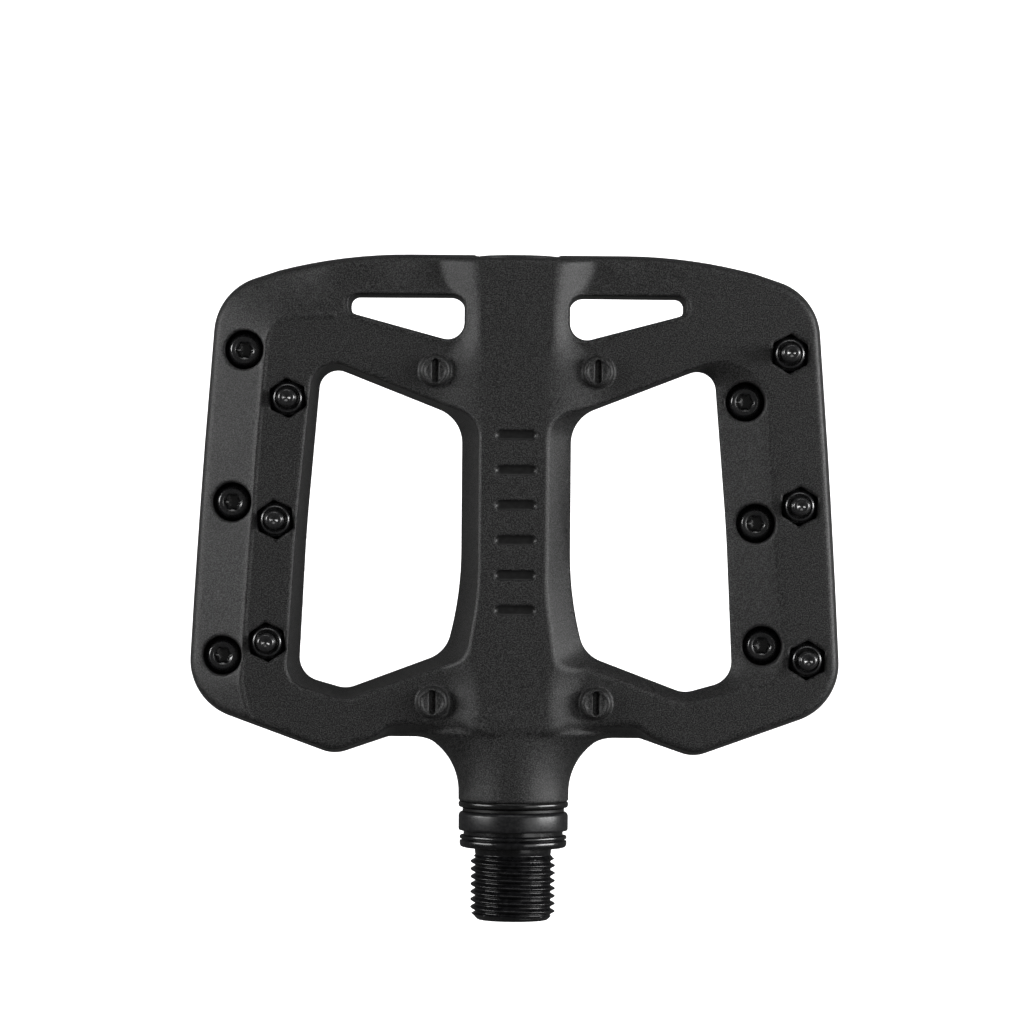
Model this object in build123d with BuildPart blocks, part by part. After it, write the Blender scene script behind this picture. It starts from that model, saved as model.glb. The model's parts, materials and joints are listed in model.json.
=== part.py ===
"""Flat bicycle pedal: a moulded platform with traction pins, turning on a threaded steel axle.

Millimetres. The origin is on the axle's axis at the crank-side face of its flange. +Y runs along
the axle to the pedal's outboard end, +Z is up out of the platform's upper face. The platform looks
the same after half a turn about the axle, so each cut is made once and turned for its twin.
"""

from build123d import *
from math import cos, radians, sin, tan
import os

os.makedirs("parts", exist_ok=True)

# Platform plate
HALF_THICK = 7.0  # half the thickness of the rails and arms
OUTBOARD_Y = 98.95  # outboard end of the platform
PLATE_Y = 18.3  # crank-side edge of the plate beside the neck
CREST_HALF = 18.0  # half of the straight stretch of the outboard edge
CREST_RADIUS = 85.0
CORNER_TOP = (50.2, 92.64)
SIDE_MIDDLE = (52.6, 59.4)
CORNER_BOTTOM = (54.6, 24.1)
KNEE = (30.0, 15.2)
KNEE_END = (21.0, 18.3)
CORNER_RADIUS = 10.0
KNEE_RADIUS = 6.0

# Central tube and neck
TUBE_HALF = 9.2  # half height of the tube, and the neck's radius
TUBE_FLAT = 6.1  # half width of the tube's flat top
TUBE_FOOT = 9.0  # half width where its slope meets the plate
NECK_Y = 7.7
NECK_STRAIGHT_Y = 9.2
FLARE_RADIUS = 10.26
BLEND_Y = 86.0  # the tube's slopes widen from here to the outboard end
BLEND_FLAT = 4.6
BLEND_FOOT = 14.0

# Main windows: the smallest opening lies at PART_Z, and the walls open out from it
PART_Z = 4.0
THROAT = [(32.7, 80.77), (35.0, 53.0), (36.15, 28.4), (28.2, 26.15), (11.6, 32.4), (9.15, 42.6), (9.15, 71.58)]
THROAT_RADII = [3.1, 280.0, 4.0, 4.5, 5.5, 58.0, 6.0]
FUNNEL = [(41.1, 84.6), (42.7, 53.0), (45.0, 28.1), (28.1, 24.3), (8.8, 31.2), (6.9, 42.6), (6.9, 71.3)]
FUNNEL_RADII = [7.7, 280.0, 6.0, 5.0, 4.0, 50.0, 5.0]
STEEP = [(33.65, 82.0), (36.4, 53.0), (37.9, 27.5), (28.15, 24.5), (8.6, 31.7), (6.67, 42.6), (6.67, 71.5)]
STEEP_RADII = [4.0, 280.0, 4.0, 5.0, 4.0, 50.0, 5.0]
CUT_Z = 9.5

# Three-cornered windows between the outboard edge and the arms
SMALL_WINDOW = [(8.77, 91.9), (27.9, 91.9), (27.9, 88.9), (8.77, 83.75)]
SMALL_RADII = [2.2, 1.45, 1.5, 2.8]

# Sloped outer facet of each rail
RIDGE_POINT = (43.0, 66.3)
RIDGE_LEAN = 0.068  # the ridge moves in by this much per millimetre towards the outboard end
FACET_ANGLE = 20.0
CORNER_RIDGE = (42.0, 84.0)
CORNER_RIDGE_ANGLE = 32.0  # direction of the corner facet's ridge, from the X axis
CORNER_FACET_ANGLE = 18.0

# Moulded pegs on the arms
PEG_PLACES = [(13.5, 79.3), (13.55, 24.4)]
PEG_RADIUS = 2.6
PEG_HEIGHT = 2.0
PEG_SLOT = (0.9, 3.7)
PEG_SLOT_DEPTH = 1.0

# Plain bars pressed into the tube's flat faces
BAR_COUNT = 6
BAR_SIZE = (6.6, 1.6)
BAR_PITCH = 5.8
BAR_MIDDLE_Y = 54.2
BAR_DEPTH = 0.5

# Traction pins (M3 socket-head screws) and their nuts
PIN_INNER = [(38.0, 74.6), (39.9, 54.4), (41.1, 34.1)]
PIN_OUTER = [(45.3, 82.6), (47.1, 57.3), (48.5, 31.8)]
PIN_RADIUS = 1.475
PIN_HOLE_RADIUS = 1.6
PIN_HEAD_RADIUS = 2.75
PIN_HEAD_HEIGHT = 3.0
PIN_SEAT = 1.4  # height of the head's seat above the platform's middle
PIN_TIP = 11.4  # how far the tip reaches from the platform's middle
PIN_SOCKET = 2.5  # across flats
PIN_SOCKET_DEPTH = 1.5
HEAD_POCKET_RADIUS = 3.25
NUT_ACROSS = 5.5
NUT_POCKET_ACROSS = 5.8
NUT_HEX_HEIGHT = 2.9
NUT_COLLAR_RADIUS = 2.45
NUT_HEIGHT = 4.0
NUT_POCKET_DEPTH = 4.0
NUT_TURN = {"left": 5.0, "right": -3.0}

# Axle
FLANGE_RADIUS = 8.95
FLANGE_Y = 2.0
FACE_INNER = 7.35  # inner edge of the flange's flat crank-side face
SHOULDER_RADIUS = 8.65
SHOULDER_Y = 2.8
THREAD_CREST = 7.1
THREAD_ROOT = 6.35
THREAD_PITCH = 1.27
THREAD_TURNS = 8
RELIEF_RADIUS = 6.4
RELIEF_Y = -1.0
AXLE_END_Y = -12.1
HEX_SOCKET = 8.0
HEX_SOCKET_DEPTH = 9.0
JOURNAL_RADIUS = 6.47
JOURNAL_Y = 18.6
WAIST_Y = 20.2
WAIST_RADIUS = 5.2
SPINDLE_RADIUS = 4.0
STUB_RADIUS = 2.95
AXLE_TIP_Y = 92.3

# Rings at the neck
SEAL_RADIUS = 9.15
SEAL_Y = 6.0
WASHER_RADIUS = 8.65
WASHER_Y = 6.6
BUSHING_GAP = 0.05
BUSHING_RADIUS = 7.5
BUSHING_BORE = 6.5
BUSHING_Y = 20.5

# Outboard bearing, 686 size
BEARING_Y = 79.5
BEARING_WIDTH = 5.0
BEARING_BORE = 3.0
BEARING_OUTSIDE = 6.5
RACE_INNER = 4.0
RACE_OUTER = 5.5
PITCH_RADIUS = 4.75
BALL_RADIUS = 1.0
GROOVE_RADIUS = 1.06
BALL_COUNT = 9
SHIELD_THICK = 0.3

# Outboard hardware
TUBE_BORE = 5.7
CAP_BORE = 6.9
NUT_WASHER_RADIUS = 5.5
NUT_WASHER_THICK = 1.0
LOCKNUT_ACROSS = 10.0
LOCKNUT_HEIGHT = 5.5
INSERT_HEIGHT = 1.5
CAP_Y = 93.6
CAP_FACE_Y = 98.9
CAP_RADIUS = 6.85
ORING_RADIUS = 0.6

HALF_TURN = 180


def finish(part, label):
    """Names a finished piece and writes its file."""
    part.label = label
    export_step(part, f"parts/{label}.step")


def stretched(start, end, share):
    """The point or number that lies share of the way from start to end, also past the end."""
    if isinstance(start, tuple):
        return tuple(a + (b - a) * share for a, b in zip(start, end))
    return start + (end - start) * share


def window_half(rim, rim_radii, side):
    """Cutter for one half of a main window, from its throat to past the tube's face on that side."""
    rim_depth = HALF_THICK - side * PART_Z
    share = (CUT_Z - side * PART_Z) / rim_depth
    far = [stretched(a, b, share) for a, b in zip(THROAT, rim)]
    far_radii = [stretched(a, b, share) for a, b in zip(THROAT_RADII, rim_radii)]
    with BuildPart() as cutter:
        with BuildSketch(Plane.XY.offset(PART_Z)):
            with BuildLine():
                FilletPolyline(*THROAT, radius=THROAT_RADII, close=True)
            make_face()
        with BuildSketch(Plane.XY.offset(side * CUT_Z)):
            with BuildLine():
                FilletPolyline(*far, radius=far_radii, close=True)
            make_face()
        loft(ruled=True)
    return cutter.part


def rail_facet():
    """Cutter for the sloped outer facet on the upper face of the rail at -X."""
    drop = tan(radians(FACET_ANGLE))
    reach = 16.0
    along = Vector(RIDGE_LEAN, 1, 0).normalized()
    ridge = Plane(origin=(-RIDGE_POINT[0], RIDGE_POINT[1], HALF_THICK), x_dir=(-1, RIDGE_LEAN, 0), z_dir=along)
    with BuildPart() as cutter:
        with BuildSketch(ridge):
            with BuildLine():
                Polyline((0, 0), (reach, -reach * drop), (reach, 4), (0, 4), close=True)
            make_face()
        extrude(amount=60, both=True)
    return cutter.part


def corner_facet():
    """Cutter for the shallow facet that carries the rail's slope round the outboard corner."""
    drop = tan(radians(CORNER_FACET_ANGLE))
    reach = 30.0
    turn = radians(CORNER_RIDGE_ANGLE)
    along = Vector(cos(turn), sin(turn), 0)
    outward = Vector(-sin(turn), cos(turn), 0)
    corner = Plane(origin=(-CORNER_RIDGE[0], CORNER_RIDGE[1], HALF_THICK), x_dir=outward, z_dir=along)
    with BuildPart() as cutter:
        with BuildSketch(corner):
            with BuildLine():
                Polyline((0, 0), (reach, -reach * drop), (reach, 4), (0, 4), close=True)
            make_face()
        extrude(amount=60, both=True)
    return cutter.part


def plate_blank():
    """The flat plate inside the platform's outline."""
    with BuildPart() as plate:
        with BuildSketch():
            with BuildLine():
                crest = Line((0, OUTBOARD_Y), (CREST_HALF, OUTBOARD_Y))
                RadiusArc(crest @ 1, CORNER_TOP, CREST_RADIUS)
                ThreePointArc(CORNER_TOP, SIDE_MIDDLE, CORNER_BOTTOM)
                Polyline(CORNER_BOTTOM, KNEE, KNEE_END, (0, PLATE_Y), crest @ 0)
            make_face()
            corners = vertices().sort_by(Axis.X)[-2:]
            fillet(corners, CORNER_RADIUS)
            fillet(vertices().sort_by(Axis.Y)[0], KNEE_RADIUS)
            mirror(about=Plane.YZ)
        extrude(amount=HALF_THICK, both=True)
    return plate.part


def tube_section(flat, foot, reach):
    """Right half of the tube's section, from its top to its bottom, in X and Z."""
    low = [(flat, -TUBE_HALF), (foot, -HALF_THICK), (reach, -HALF_THICK)]
    high = [(reach, HALF_THICK), (foot, HALF_THICK), (flat, TUBE_HALF)]
    return low + high


def tube_blank():
    """The tube's faces above and below the plate, widening towards the outboard end, and the neck."""
    side = BLEND_FOOT + 0.7
    with BuildPart() as tube:
        for flat, foot, y in [(BLEND_FLAT, BLEND_FOOT, OUTBOARD_Y), (TUBE_FLAT, TUBE_FOOT, BLEND_Y)]:
            half = tube_section(flat, foot, side)
            with BuildSketch(Plane.XZ.offset(-y)):
                Polygon(*half, *[(-x, z) for x, z in reversed(half)], align=None)
        loft(ruled=True)
        with BuildSketch(Plane.XZ.offset(-BLEND_Y)):
            half = tube_section(TUBE_FLAT, TUBE_FOOT, TUBE_FOOT + 0.1)
            Polygon(*half, *[(-x, z) for x, z in reversed(half)], align=None)
        extrude(amount=BLEND_Y - PLATE_Y)
    with BuildPart() as neck:
        flare_reach = PLATE_Y - NECK_STRAIGHT_Y
        flare_end = TUBE_HALF + FLARE_RADIUS - (FLARE_RADIUS**2 - flare_reach**2) ** 0.5
        with BuildSketch():
            with BuildLine():
                foot = Polyline((0, PLATE_Y + 0.5), (0, NECK_Y), (TUBE_HALF, NECK_Y), (TUBE_HALF, NECK_STRAIGHT_Y))
                flare = RadiusArc(foot @ 1, (flare_end, PLATE_Y), FLARE_RADIUS)
                Polyline(flare @ 1, (flare_end, PLATE_Y + 0.5), foot @ 0)
            make_face()
        revolve(axis=Axis.Y)
        with BuildSketch(Plane.XZ.offset(-NECK_Y)):
            half = tube_section(TUBE_FLAT, TUBE_FOOT, side + 5)
            Polygon(*half, *[(-x, z) for x, z in reversed(half)], align=None)
        extrude(amount=-(PLATE_Y + 1 - NECK_Y), mode=Mode.INTERSECT)
    with BuildPart() as both:
        add(tube.part)
        add(neck.part)
    return both.part


def pin_places():
    """Each pin's name, place, rail and the side (+1 up, -1 down) that its head is on."""
    places = []
    for rail, sign in (("left", -1), ("right", 1)):
        for row, (column, up) in enumerate(((PIN_OUTER, -sign), (PIN_INNER, sign))):
            for number, (x, y) in enumerate(column):
                name = f"{rail}_{'outer' if row == 0 else 'inner'}_{number + 1}"
                places.append((name, sign * x, y, rail, up))
    return places


def make_body():
    """The moulded platform."""
    upper = window_half(FUNNEL, FUNNEL_RADII, 1)
    lower = window_half(STEEP, STEEP_RADII, -1)
    facets = [rail_facet(), corner_facet()]
    plate = plate_blank()
    with BuildPart() as body:
        add(plate)
        for facet in facets:
            add(facet, mode=Mode.SUBTRACT)
            add(facet, rotation=(0, HALF_TURN, 0), mode=Mode.SUBTRACT)
        add(tube_blank())
        for cutter in (upper, lower):
            add(cutter, mode=Mode.SUBTRACT)
            add(cutter, rotation=(0, HALF_TURN, 0), mode=Mode.SUBTRACT)
        with BuildSketch():
            with BuildLine():
                FilletPolyline(*SMALL_WINDOW, radius=SMALL_RADII, close=True)
            make_face()
            mirror(about=Plane.YZ)
        extrude(amount=TUBE_HALF, both=True, mode=Mode.SUBTRACT)
        pegs = [(side * x, y) for x, y in PEG_PLACES for side in (-1, 1)]
        with BuildSketch():
            with Locations(*pegs):
                Circle(PEG_RADIUS)
        extrude(amount=HALF_THICK + PEG_HEIGHT, both=True)
        for face in (1, -1):
            with BuildSketch(Plane.XY.offset(face * (HALF_THICK + PEG_HEIGHT))):
                with Locations(*pegs):
                    Rectangle(*PEG_SLOT)
            extrude(amount=-face * PEG_SLOT_DEPTH, mode=Mode.SUBTRACT)
            with BuildSketch(Plane.XY.offset(face * TUBE_HALF)):
                with Locations((0, BAR_MIDDLE_Y)):
                    with GridLocations(0, BAR_PITCH, 1, BAR_COUNT):
                        SlotOverall(*BAR_SIZE)
            extrude(amount=-face * BAR_DEPTH, mode=Mode.SUBTRACT)
        for _, x, y, rail, up in pin_places():
            with BuildSketch(Plane.XY.offset(-HALF_THICK)):
                with Locations((x, y)):
                    Circle(PIN_HOLE_RADIUS)
            extrude(amount=2 * HALF_THICK, mode=Mode.SUBTRACT)
            with BuildSketch(Plane.XY.offset(up * PIN_SEAT)):
                with Locations((x, y)):
                    Circle(HEAD_POCKET_RADIUS)
            extrude(amount=up * HALF_THICK, mode=Mode.SUBTRACT)
            with BuildSketch(Plane.XY.offset(-up * (HALF_THICK - NUT_POCKET_DEPTH))):
                with Locations(Location((x, y, 0), (0, 0, NUT_TURN[rail]))):
                    RegularPolygon(NUT_POCKET_ACROSS / 2, 6, major_radius=False, rotation=30)
            extrude(amount=-up * HALF_THICK, mode=Mode.SUBTRACT)
        bores = [
            (BUSHING_RADIUS, NECK_Y, BUSHING_Y + 0.3),
            (TUBE_BORE, NECK_Y, OUTBOARD_Y),
            (BEARING_OUTSIDE, BEARING_Y, OUTBOARD_Y),
            (CAP_BORE, BEARING_Y + BEARING_WIDTH, OUTBOARD_Y),
        ]
        for radius, start, end in bores:
            with BuildSketch(Plane.XZ.offset(-start)):
                Circle(radius)
            extrude(amount=-(end - start), mode=Mode.SUBTRACT)
    finish(body.part, "pedal_body")


def make_axle():
    """Steel axle with its flange, annular thread ridges, journal, waist, bearing seat and end stub."""
    crest_flat = THREAD_PITCH / 6
    root_flat = THREAD_PITCH / 8
    flank = (THREAD_PITCH - crest_flat - root_flat) / 2
    thread = []
    y = RELIEF_Y
    for _ in range(THREAD_TURNS):
        thread.append((THREAD_ROOT, y))
        thread.append((THREAD_CREST, y - flank))
        thread.append((THREAD_CREST, y - flank - crest_flat))
        thread.append((THREAD_ROOT, y - 2 * flank - crest_flat))
        y -= THREAD_PITCH
    stub_y = BEARING_Y + BEARING_WIDTH
    profile = [
        (0, AXLE_TIP_Y),
        (STUB_RADIUS - 0.5, AXLE_TIP_Y),
        (STUB_RADIUS, AXLE_TIP_Y - 0.5),
        (STUB_RADIUS, stub_y),
        (BEARING_BORE, stub_y),
        (BEARING_BORE, BEARING_Y),
        (SPINDLE_RADIUS, BEARING_Y),
        (SPINDLE_RADIUS, 62.0),
        (WAIST_RADIUS, 28.0),
        (WAIST_RADIUS, WAIST_Y),
        (JOURNAL_RADIUS, JOURNAL_Y),
        (JOURNAL_RADIUS, SHOULDER_Y),
        (SHOULDER_RADIUS, SHOULDER_Y),
        (SHOULDER_RADIUS, FLANGE_Y),
        (FLANGE_RADIUS, FLANGE_Y),
        (FLANGE_RADIUS, 1.45),
        (FLANGE_RADIUS - 0.25, 1.3),
        (FLANGE_RADIUS, 1.15),
        (FLANGE_RADIUS, 0.5),
        (FLANGE_RADIUS - 0.5, 0),
        (FACE_INNER, 0),
        (RELIEF_RADIUS + 0.3, 0.35),
        (RELIEF_RADIUS, 0.35),
        (RELIEF_RADIUS, RELIEF_Y + 0.05),
        *thread,
        (THREAD_ROOT, AXLE_END_Y + 0.4),
        (THREAD_ROOT - 0.4, AXLE_END_Y),
        (0, AXLE_END_Y),
    ]
    with BuildPart() as axle:
        with BuildSketch():
            with BuildLine():
                Polyline(*profile, close=True)
            make_face()
        revolve(axis=Axis.Y)
        with BuildSketch(Plane.XZ.offset(-AXLE_END_Y)):
            RegularPolygon(HEX_SOCKET / 2, 6, major_radius=False)
        extrude(amount=-HEX_SOCKET_DEPTH, mode=Mode.SUBTRACT)
    finish(axle.part, "axle")


def make_ring(label, profile):
    """A turned ring about the axle, from its half section in X and Y."""
    with BuildPart() as ring:
        with BuildSketch():
            with BuildLine():
                Polyline(*profile, close=True)
            make_face()
        revolve(axis=Axis.Y)
    finish(ring.part, label)


def make_neck_rings():
    """Seal, backing washer and flanged bushing between the axle's flange and the platform."""
    inner = JOURNAL_RADIUS + 0.02
    seal = [
        (inner, SHOULDER_Y),
        (SEAL_RADIUS - 0.3, SHOULDER_Y),
        (SEAL_RADIUS, SHOULDER_Y + 0.3),
        (SEAL_RADIUS, SEAL_Y - 0.6),
        (SEAL_RADIUS - 0.2, SEAL_Y - 0.2),
        (SEAL_RADIUS - 0.6, SEAL_Y),
        (inner, SEAL_Y),
    ]
    make_ring("axle_seal", seal)
    washer = [(inner, SEAL_Y), (WASHER_RADIUS, SEAL_Y), (WASHER_RADIUS, WASHER_Y), (inner, WASHER_Y)]
    make_ring("backing_washer", washer)
    flange_y = WASHER_Y + BUSHING_GAP
    bushing = [
        (BUSHING_BORE, flange_y),
        (TUBE_HALF - 0.2, flange_y),
        (TUBE_HALF, flange_y + 0.2),
        (TUBE_HALF, NECK_Y),
        (BUSHING_RADIUS, NECK_Y),
        (BUSHING_RADIUS, BUSHING_Y),
        (BUSHING_BORE, BUSHING_Y),
    ]
    make_ring("inboard_bushing", bushing)


def make_bearing():
    """Ball bearing at the outboard end: races, balls, cage and shields."""
    middle = BEARING_Y + BEARING_WIDTH / 2
    races = {
        "bearing_inner_race": (BEARING_BORE, RACE_INNER),
        "bearing_outer_race": (RACE_OUTER, BEARING_OUTSIDE),
    }
    for label, (inner, outer) in races.items():
        with BuildPart() as race:
            with BuildSketch(Plane.XZ.offset(-BEARING_Y)):
                Circle(outer)
                Circle(inner, mode=Mode.SUBTRACT)
            extrude(amount=-BEARING_WIDTH)
            with BuildSketch():
                with Locations((PITCH_RADIUS, middle)):
                    Circle(GROOVE_RADIUS)
            revolve(axis=Axis.Y, mode=Mode.SUBTRACT)
        finish(race.part, label)
    with BuildPart() as balls:
        with Locations(Location((0, middle, 0), (90, 0, 0))):
            with PolarLocations(PITCH_RADIUS, BALL_COUNT):
                Sphere(BALL_RADIUS)
    finish(balls.part, "bearing_balls")
    with BuildPart() as cage:
        with BuildSketch(Plane.XZ.offset(-(middle - 1.4))):
            Circle(PITCH_RADIUS + 0.4)
            Circle(PITCH_RADIUS - 0.4, mode=Mode.SUBTRACT)
        extrude(amount=-2.8)
        with Locations(Location((0, middle, 0), (90, 0, 0))):
            with PolarLocations(PITCH_RADIUS, BALL_COUNT):
                Cylinder(BALL_RADIUS + 0.05, 3, rotation=(0, 90, 0), mode=Mode.SUBTRACT)
    finish(cage.part, "bearing_cage")
    for label, y in (("inboard", BEARING_Y + 0.3), ("outboard", BEARING_Y + BEARING_WIDTH - 0.3 - SHIELD_THICK)):
        shield = [
            (RACE_INNER + 0.15, y),
            (RACE_OUTER, y),
            (RACE_OUTER, y + SHIELD_THICK),
            (RACE_INNER + 0.15, y + SHIELD_THICK),
        ]
        make_ring(f"bearing_shield_{label}", shield)


def make_outboard_hardware():
    """Washer, lock nut, nut insert, end cap and its O-ring."""
    washer_y = BEARING_Y + BEARING_WIDTH
    nut_y = washer_y + NUT_WASHER_THICK
    washer_radius = RACE_INNER + 0.5
    washer = [
        (BEARING_BORE, washer_y),
        (RACE_INNER - 0.1, washer_y),
        (RACE_INNER - 0.1, washer_y + 0.4),
        (washer_radius + 0.9, washer_y + 0.4),
        (washer_radius + 0.9, nut_y),
        (BEARING_BORE, nut_y),
    ]
    make_ring("axle_washer", washer)
    with BuildPart() as nut:
        with BuildSketch(Plane.XZ.offset(-nut_y)):
            RegularPolygon(LOCKNUT_ACROSS / 2, 6, major_radius=False)
            Circle(BEARING_BORE, mode=Mode.SUBTRACT)
        extrude(amount=-(LOCKNUT_HEIGHT - INSERT_HEIGHT))
        with BuildSketch(Plane.XZ.offset(-(nut_y + LOCKNUT_HEIGHT - INSERT_HEIGHT))):
            Circle(LOCKNUT_ACROSS / 2 - 0.3)
            Circle(LOCKNUT_ACROSS / 2 - 1.0, mode=Mode.SUBTRACT)
        extrude(amount=-INSERT_HEIGHT)
    finish(nut.part, "axle_locknut")
    insert_y = nut_y + LOCKNUT_HEIGHT - INSERT_HEIGHT
    insert = [
        (BEARING_BORE, insert_y),
        (LOCKNUT_ACROSS / 2 - 1.0, insert_y),
        (LOCKNUT_ACROSS / 2 - 1.0, insert_y + INSERT_HEIGHT - 0.3),
        (BEARING_BORE, insert_y + INSERT_HEIGHT - 0.3),
    ]
    make_ring("axle_nut_insert", insert)
    groove_y = CAP_Y + 1.5
    with BuildPart() as cap:
        with BuildSketch():
            with BuildLine():
                Polyline(
                    (0, CAP_Y + 2.2),
                    (CAP_RADIUS - 1.8, CAP_Y + 2.2),
                    (CAP_RADIUS - 1.8, CAP_Y),
                    (CAP_RADIUS, CAP_Y),
                    (CAP_RADIUS, groove_y - 0.7),
                    (CAP_RADIUS - 1.2, groove_y - 0.7),
                    (CAP_RADIUS - 1.2, groove_y + 0.7),
                    (CAP_RADIUS, groove_y + 0.7),
                    (CAP_RADIUS, CAP_FACE_Y - 0.15),
                    (CAP_RADIUS - 0.15, CAP_FACE_Y),
                    (0, CAP_FACE_Y),
                    close=True,
                )
            make_face()
        revolve(axis=Axis.Y)
        with BuildSketch(Plane.XZ.offset(-CAP_FACE_Y)):
            RegularPolygon(3.0, 6, major_radius=False)
        extrude(amount=1.6, mode=Mode.SUBTRACT)
    finish(cap.part, "end_cap")
    with BuildPart() as oring:
        with BuildSketch():
            with Locations((CAP_RADIUS - ORING_RADIUS + 0.02, groove_y)):
                Circle(ORING_RADIUS)
        revolve(axis=Axis.Y)
    finish(oring.part, "end_cap_oring")


def make_pin(name, x, y, up):
    """One traction pin: a socket-head screw whose coned tip stands out of the far face."""
    length = PIN_SEAT + PIN_TIP
    with BuildPart() as pin:
        with BuildSketch(Plane.XY):
            with Locations((x, y)):
                Circle(PIN_HEAD_RADIUS)
        extrude(amount=up * PIN_HEAD_HEIGHT)
        with BuildSketch(Plane.XY.offset(up * PIN_HEAD_HEIGHT)):
            with Locations((x, y)):
                RegularPolygon(PIN_SOCKET / 2, 6, major_radius=False)
        extrude(amount=-up * PIN_SOCKET_DEPTH, mode=Mode.SUBTRACT)
        with BuildSketch(Plane.XY):
            with Locations((x, y)):
                Circle(PIN_RADIUS)
        extrude(amount=-up * length)
        outer_edges = edges().filter_by(GeomType.CIRCLE).group_by(Axis.Z)
        chamfer(outer_edges[0] if up > 0 else outer_edges[-1], 0.5)
        chamfer(outer_edges[-1] if up > 0 else outer_edges[0], 0.3)
    finish(pin.part.moved(Location((0, 0, up * PIN_SEAT))), f"pin_{name}")


def make_nut(name, x, y, rail, up):
    """One pin nut: a hexagon with a round locking collar towards the pin's tip."""
    base = -up * (HALF_THICK - NUT_POCKET_DEPTH)
    with BuildPart() as nut:
        with BuildSketch(Plane.XY.offset(base)):
            with Locations(Location((x, y, 0), (0, 0, NUT_TURN[rail]))):
                RegularPolygon(NUT_ACROSS / 2, 6, major_radius=False, rotation=30)
        extrude(amount=-up * NUT_HEX_HEIGHT)
        with BuildSketch(Plane.XY.offset(base)):
            with Locations((x, y)):
                Circle(NUT_COLLAR_RADIUS)
        extrude(amount=-up * NUT_HEIGHT)
        with BuildSketch(Plane.XY.offset(base)):
            with Locations((x, y)):
                Circle(PIN_RADIUS)
        extrude(amount=-up * NUT_HEIGHT, mode=Mode.SUBTRACT)
    finish(nut.part, f"nut_{name}")


make_body()
make_axle()
make_neck_rings()
make_bearing()
make_outboard_hardware()
for pin_name, pin_x, pin_y, pin_rail, head_side in pin_places():
    make_pin(pin_name, pin_x, pin_y, head_side)
    make_nut(pin_name, pin_x, pin_y, pin_rail, head_side)
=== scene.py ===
"""Looks of the flat pedal: the moulded platform, the threaded axle and its rings, the pins and nuts."""

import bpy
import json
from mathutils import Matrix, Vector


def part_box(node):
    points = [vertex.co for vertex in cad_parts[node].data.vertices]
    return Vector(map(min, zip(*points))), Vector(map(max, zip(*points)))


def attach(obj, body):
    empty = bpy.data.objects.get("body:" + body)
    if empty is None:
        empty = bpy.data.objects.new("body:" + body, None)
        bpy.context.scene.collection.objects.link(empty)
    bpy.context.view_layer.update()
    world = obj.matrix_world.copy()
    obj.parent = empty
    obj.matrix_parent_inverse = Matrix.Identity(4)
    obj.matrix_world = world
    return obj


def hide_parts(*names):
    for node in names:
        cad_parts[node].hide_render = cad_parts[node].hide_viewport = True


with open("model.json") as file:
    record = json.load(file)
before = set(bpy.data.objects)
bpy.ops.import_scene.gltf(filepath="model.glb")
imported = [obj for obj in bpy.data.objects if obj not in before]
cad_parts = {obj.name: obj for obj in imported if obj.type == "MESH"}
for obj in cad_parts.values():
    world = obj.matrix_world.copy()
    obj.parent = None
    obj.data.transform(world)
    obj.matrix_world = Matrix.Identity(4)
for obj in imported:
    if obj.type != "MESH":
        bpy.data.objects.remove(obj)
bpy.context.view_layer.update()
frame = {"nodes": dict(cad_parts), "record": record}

import json
from math import cos, hypot, pi, radians, sin, tan

import bmesh
import bpy
import numpy as np
from mathutils import Matrix, Vector

MM = 0.001

# ---------------------------------------------------------------- sizes, in millimetres
body_low, body_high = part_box("pedal_body")
axle_low, axle_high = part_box("axle")
OUTBOARD_Y = body_high.y / MM
NECK_Y = body_low.y / MM
HALF_WIDTH = body_high.x / MM
TUBE_HALF = body_high.z / MM
HALF_THICK = 7.0  # of the rails and arms
PLATE_Y = 18.3  # crank-side edge of the plate beside the neck

GRID = 0.27  # spacing of the grid that the platform's surface is found on
GRID_MARGIN = 1.2
# the export thins a piece that has more than 200,000
BODY_TRIANGLES = 190000  # the platform is thinned to about this many triangles

# Outline: the outboard edge is straight in the middle and an arc beyond CREST_HALF
CREST_HALF = 18.0
CREST_RADIUS = 85.0
CORNER_TOP = (50.2, 92.64)
SIDE_MIDDLE = (52.6, 59.4)
CORNER_BOTTOM = (54.6, 24.1)
KNEE = (30.0, 15.2)
KNEE_END = (21.0, PLATE_Y)
CORNER_RADIUS = 10.0
KNEE_RADIUS = 6.0
KNEE_END_RADIUS = 1.5
WALL_DRAFT = 0.12  # lean of the outer walls, as a slope
NECK_DRAFT = 0.34  # the same beside the neck
NECK_STRAIGHT_Y = 9.2
NECK_FLARE = 10.26

# Main window: its narrowest outline at PART_Z, and its rims on the upper face and below the lower one
PART_Z = 4.0
THROAT = [(32.7, 80.77), (35.0, 53.0), (36.15, 28.4), (28.2, 26.15), (11.6, 32.4), (9.15, 42.6), (9.15, 71.58)]
THROAT_RADII = [3.1, 280.0, 4.0, 4.5, 5.5, 58.0, 6.0]
FUNNEL = [(41.1, 84.6), (42.7, 53.0), (45.0, 28.1), (28.1, 24.3), (8.8, 31.2), (6.9, 42.6), (6.9, 71.3)]
FUNNEL_RADII = [7.7, 280.0, 6.0, 5.0, 4.0, 50.0, 5.0]
STEEP = [(33.65, 82.0), (36.4, 53.0), (37.9, 27.5), (28.15, 24.5), (8.6, 31.7), (6.67, 42.6), (6.67, 71.5)]
STEEP_RADII = [4.0, 280.0, 4.0, 5.0, 4.0, 50.0, 5.0]
SMALL_WINDOW = [(8.77, 91.9), (27.9, 91.9), (27.9, 88.9), (8.77, 83.75)]
SMALL_RADII = [2.2, 1.45, 1.5, 2.8]

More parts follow.
